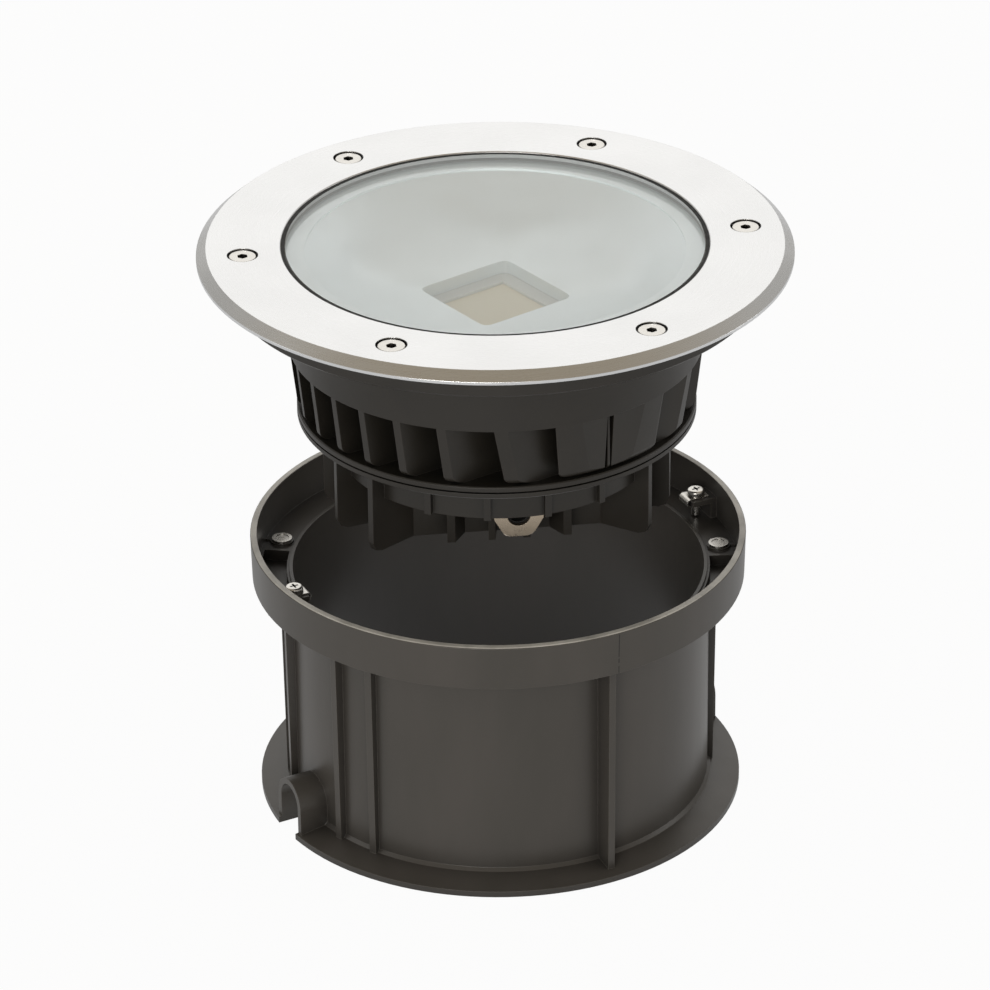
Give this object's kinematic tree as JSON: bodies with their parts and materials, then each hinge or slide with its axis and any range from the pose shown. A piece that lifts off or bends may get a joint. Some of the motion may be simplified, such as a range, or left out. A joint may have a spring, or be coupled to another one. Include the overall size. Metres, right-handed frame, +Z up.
{
  "type": "in-ground well light",
  "caption": "Round in-ground uplight with a bevelled steel trim, glass, reflector, finned housing and cable gland, lifted clear above its black mounting sleeve with cable spouts.",
  "frame": {"origin": "on the sleeve's axis, on the ground under its foot", "axes": "+Z up along the common axis of sleeve and luminaire; +X and -X along the two cable spouts of the sleeve; -Y side is the one seen in the picture"},
  "size_m": [0.26, 0.26, 0.2675],
  "materials": {
    "sleeve_plastic": "satin moulded black",
    "bright_steel": "zinc plated or stainless, bright",
    "trim_steel": "fine satin stainless",
    "glass": "clear toughened",
    "black_rubber": "matt",
    "housing_paint": "dark powder coat on die cast aluminium",
    "reflector_metal": "anodised satin",
    "white_plastic": "matt",
    "phosphor": "matt silicone",
    "board": "white solder mask on metal core",
    "grey_pad": "matt",
    "wire_red": "silicone sheath",
    "wire_brown": "silicone sheath",
    "wire_green": "silicone sheath with a plated ring tag",
    "driver_case": "matt potted case",
    "nickel_brass": "nickel plated brass"
  },
  "bodies": {
    "ground_sleeve": {"sleeve": "sleeve_plastic", "locating_studs": "bright_steel", "clip_nuts": "bright_steel", "clip_screws": "bright_steel"},
    "luminaire": {"trim_ring": "trim_steel", "trim_screws": "bright_steel", "lens_glass": "glass", "lens_gasket": "black_rubber", "heat_sink_housing": "housing_paint", "reflector": "reflector_metal", "led_holder": "white_plastic", "led_holder_screws": "bright_steel", "led_board": "board", "led_emitter": "phosphor", "thermal_pad": "grey_pad", "led_leads": "wire_red", "rear_gasket": "black_rubber", "rear_cover": "housing_paint", "rear_cover_screws": "bright_steel", "driver": "driver_case", "driver_screws": "bright_steel", "terminal_block": "white_plastic", "supply_leads": "wire_brown", "earth_lead": "wire_green", "earth_screw": "bright_steel", "gland_washer": "black_rubber", "gland_body": "nickel_brass", "gland_seal": "black_rubber", "gland_nut": "nickel_brass", "gland_locknut": "nickel_brass"}
  },
  "joints": [
    {"name": "luminaire_lift", "type": "slide", "parent": "ground_sleeve", "child": "luminaire", "axis": [0, 0, 1], "range_m": [-0.1237, 0.06]}
  ]
}
